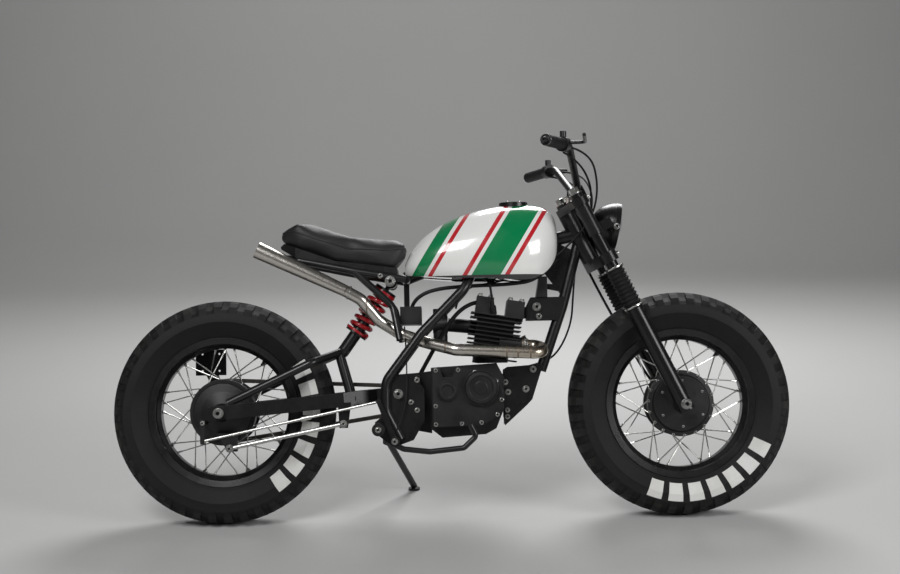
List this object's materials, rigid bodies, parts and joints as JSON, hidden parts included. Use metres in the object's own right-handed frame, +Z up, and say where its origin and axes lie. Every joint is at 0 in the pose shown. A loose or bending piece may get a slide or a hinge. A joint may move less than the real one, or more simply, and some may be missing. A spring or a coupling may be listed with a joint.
{
  "type": "flat tracker motorcycle",
  "caption": "Small single-cylinder flat tracker motorcycle with fat block tyres, wire wheels, bench seat and upswept exhaust, leaning on its side stand.",
  "frame": {"origin": "on the floor under the middle of the parked machine", "axes": "+X forward along the machine, +Y to the rider's left, +Z up"},
  "size_m": [1.972, 0.8583, 1.1248],
  "materials": {
    "tyre_rubber": "matt block tread rubber",
    "black_rubber": "matt moulded rubber",
    "seat_vinyl": "charcoal grained seat vinyl",
    "tank_paint": "gloss white lacquer with green and red bands",
    "stainless_steel": "brushed stainless, warm tint near the port",
    "bright_steel": "zinc plated steel",
    "lens_glass": "clear lamp glass",
    "red_spring": "gloss red powder coat",
    "black_castings": "satin black paint on castings",
    "chain_steel": "oiled steel",
    "black_paint": "satin black powder coat"
  },
  "bodies": {
    "frame": {"brake_pedal": "black_paint", "brake_rods": "bright_steel", "breather_hose": "black_rubber", "carburettor": "black_castings", "chain": "chain_steel", "clutch_cover": "black_castings", "crankcase": "black_castings", "cylinder": "black_castings", "cylinder_head": "black_castings", "electrics_box": "black_castings", "engine_mounts": "black_paint", "exhaust_pipe": "stainless_steel", "foot_pegs": "black_rubber", "fuel_cap": "black_paint", "fuel_tank": "tank_paint", "gear_lever": "bright_steel", "generator_cover": "black_castings", "main_frame": "black_paint", "muffler": "stainless_steel", "plate_bracket": "black_paint", "rear_axle": "bright_steel", "rear_brake_plate": "black_castings", "regulator": "black_castings", "seat": "seat_vinyl", "seat_frame": "black_paint", "seat_pan": "black_paint", "shock_body": "black_paint", "shock_spring": "red_spring", "swingarm": "black_paint"},
    "steering": {"steering_stem": "black_paint", "upper_yoke": "black_paint", "fork_tubes": "black_paint", "fork_gaiters": "black_rubber", "fork_sliders": "black_paint", "handlebar": "black_paint", "grips": "black_rubber", "bar_controls": "black_paint", "headlight_shell": "black_paint", "headlight_lens": "lens_glass", "headlight_ears": "black_paint", "front_axle": "bright_steel", "front_brake_plate": "black_castings", "front_cables": "black_rubber"},
    "front_wheel": {"front_tyre": "tyre_rubber", "front_rim": "black_paint", "front_spokes": "bright_steel", "front_hub": "black_castings"},
    "rear_wheel": {"rear_tyre": "tyre_rubber", "rear_rim": "black_paint", "rear_spokes": "bright_steel", "rear_hub": "black_castings"},
    "side_stand": {"side_stand": "black_paint"}
  },
  "joints": [
    {"name": "steering_turn", "type": "hinge", "parent": "frame", "child": "steering", "pos_m": [0.38336, -0.04428, 0.79832], "axis": [-0.4384, 0.1684, 0.8829], "range_deg": [-36, 36]},
    {"name": "front_wheel_spin", "type": "hinge", "parent": "steering", "child": "front_wheel", "pos_m": [0.663, -0.13548, 0.32028], "axis": [0, 0.9823, -0.1874], "continuous": true},
    {"name": "rear_wheel_spin", "type": "hinge", "parent": "frame", "child": "rear_wheel", "pos_m": [-0.663, -0.13548, 0.32028], "axis": [0, 0.9823, -0.1874], "continuous": true},
    {"name": "side_stand_fold", "type": "hinge", "parent": "frame", "child": "side_stand", "pos_m": [-0.196, -0.02988, 0.20139], "axis": [-0.0023, 0.7736, 0.6337], "range_deg": [0, 88]}
  ]
}
